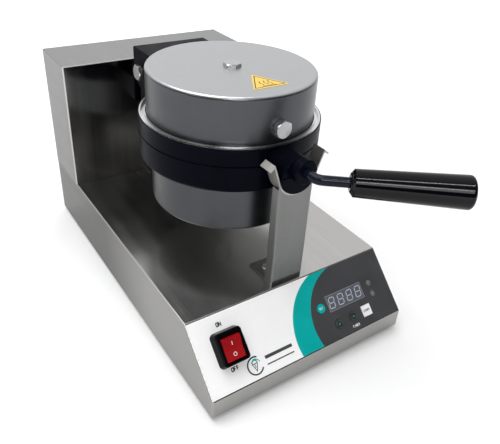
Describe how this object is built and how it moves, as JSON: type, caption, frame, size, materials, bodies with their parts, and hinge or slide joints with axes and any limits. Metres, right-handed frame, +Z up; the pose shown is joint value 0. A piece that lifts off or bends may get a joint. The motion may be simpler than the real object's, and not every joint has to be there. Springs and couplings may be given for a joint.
{
  "type": "waffle cone maker",
  "caption": "Countertop waffle cone maker: two round cast baking plates in steel cans that turn over on a rear shaft, with a front cradle, handle, sloping control panel and rear tower.",
  "frame": {"origin": "middle of the whole machine's footprint, handle included, on the surface it stands on", "axes": "+Z up, the sloping control panel faces -Y, +X to the right seen from the front"},
  "size_m": [0.25, 0.5064, 0.2795],
  "materials": {
    "brushed_steel": "fine brushed sheet",
    "polished_steel": "polished sheet",
    "film_white": "printed white film",
    "film_teal": "printed teal film",
    "film_grey": "printed dark grey film",
    "black_plastic": "black moulding",
    "red_rocker": "translucent red moulding",
    "key_teal": "teal key",
    "key_dark": "dark key",
    "key_white": "white key",
    "display_grey": "smoked display face",
    "lamp": "clear lamp",
    "black_casting": "coated casting",
    "can_steel": "matt spun steel",
    "trim_aluminium": "turned rim",
    "zinc_steel": "zinc plated",
    "rod_black": "gloss dark blue-black",
    "grip_black": "gloss black",
    "rubber": "feet",
    "board_green": "circuit board",
    "brass": "standoffs",
    "bronze": "plain bush",
    "relay_plastic": "relay case",
    "laminations": "transformer",
    "terminal_plastic": "terminals",
    "gland_plastic": "polyamide gland",
    "heater_sheath": "heat tinted sheath",
    "mineral_wool": "insulation board",
    "probe_steel": "probe",
    "lead_insulation": "silicone leads",
    "label_yellow": "printed label"
  },
  "bodies": {
    "base": {"base_shell": "brushed_steel", "bottom_plate": "brushed_steel", "rubber_feet": "rubber", "foot_screws": "zinc_steel", "panel_film_white": "film_white", "panel_film_teal": "film_teal", "panel_film_grey": "film_grey", "switch_housing": "black_plastic", "display_module": "display_grey", "status_lamps": "lamp", "key_switches": "black_plastic", "control_board": "board_green", "board_standoffs": "brass", "power_relay": "relay_plastic", "control_transformer": "laminations", "terminal_block": "terminal_plastic", "cord_gland": "gland_plastic", "gland_nut": "gland_plastic", "cradle_post": "brushed_steel", "cradle_saddle": "brushed_steel", "post_screws": "zinc_steel", "tower_front_panel": "polished_steel", "tower_cover": "brushed_steel", "tower_back_panel": "brushed_steel", "back_screws": "zinc_steel", "bearing_bracket": "laminations", "bearing_housing": "laminations", "bearing_bushes": "bronze"},
    "rocker": {"switch_rocker": "red_rocker"},
    "set_button": {"set_key": "key_teal"},
    "up_button": {"up_key": "key_dark"},
    "down_button": {"down_key": "key_dark"},
    "start_button": {"start_key": "key_white"},
    "iron": {"lower_casting": "black_casting", "pivot_shaft": "zinc_steel", "shaft_bolts": "zinc_steel", "stop_arm": "zinc_steel", "shaft_nut": "zinc_steel", "hinge_bush": "bronze", "lower_can": "can_steel", "lower_centre_bolt": "zinc_steel", "lower_heater": "heater_sheath", "lower_insulation": "mineral_wool", "temperature_probe": "probe_steel", "heater_leads": "lead_insulation"},
    "lid": {"upper_casting": "black_casting", "lid_trim_ring": "trim_aluminium", "lid_can": "can_steel", "lid_centre_bolt": "zinc_steel", "lid_side_bolt": "zinc_steel", "upper_heater": "heater_sheath", "upper_insulation": "mineral_wool", "hinge_bolt": "zinc_steel", "hinge_nut": "zinc_steel", "caution_label": "label_yellow", "handle_hub": "black_casting", "handle_rod": "rod_black", "handle_grip": "grip_black"}
  },
  "joints": [
    {"name": "iron_flip", "type": "hinge", "parent": "base", "child": "iron", "pos_m": [0, -0.0073, 0.2095], "axis": [0, -1, 0], "range_deg": [0, 180]},
    {"name": "lid_hinge", "type": "hinge", "parent": "iron", "child": "lid", "pos_m": [0, 0.1137, 0.2375], "axis": [1, 0, 0], "range_deg": [-95, 0]},
    {"name": "rocker_pivot", "type": "hinge", "parent": "base", "child": "rocker", "pos_m": [-0.09, -0.16612, 0.05846], "axis": [1, 0, 0], "range_deg": [-16, 0]},
    {"name": "set_press", "type": "slide", "parent": "base", "child": "set_button", "axis": [0, 0.6883, -0.7254], "range_m": [0, 0.0005], "stiffness_N_per_m": 2000},
    {"name": "up_press", "type": "slide", "parent": "base", "child": "up_button", "axis": [0, 0.6883, -0.7254], "range_m": [0, 0.0005], "stiffness_N_per_m": 2000},
    {"name": "down_press", "type": "slide", "parent": "base", "child": "down_button", "axis": [0, 0.6883, -0.7254], "range_m": [0, 0.0005], "stiffness_N_per_m": 2000},
    {"name": "start_press", "type": "slide", "parent": "base", "child": "start_button", "axis": [0, 0.6883, -0.7254], "range_m": [0, 0.0005], "stiffness_N_per_m": 2000}
  ]
}
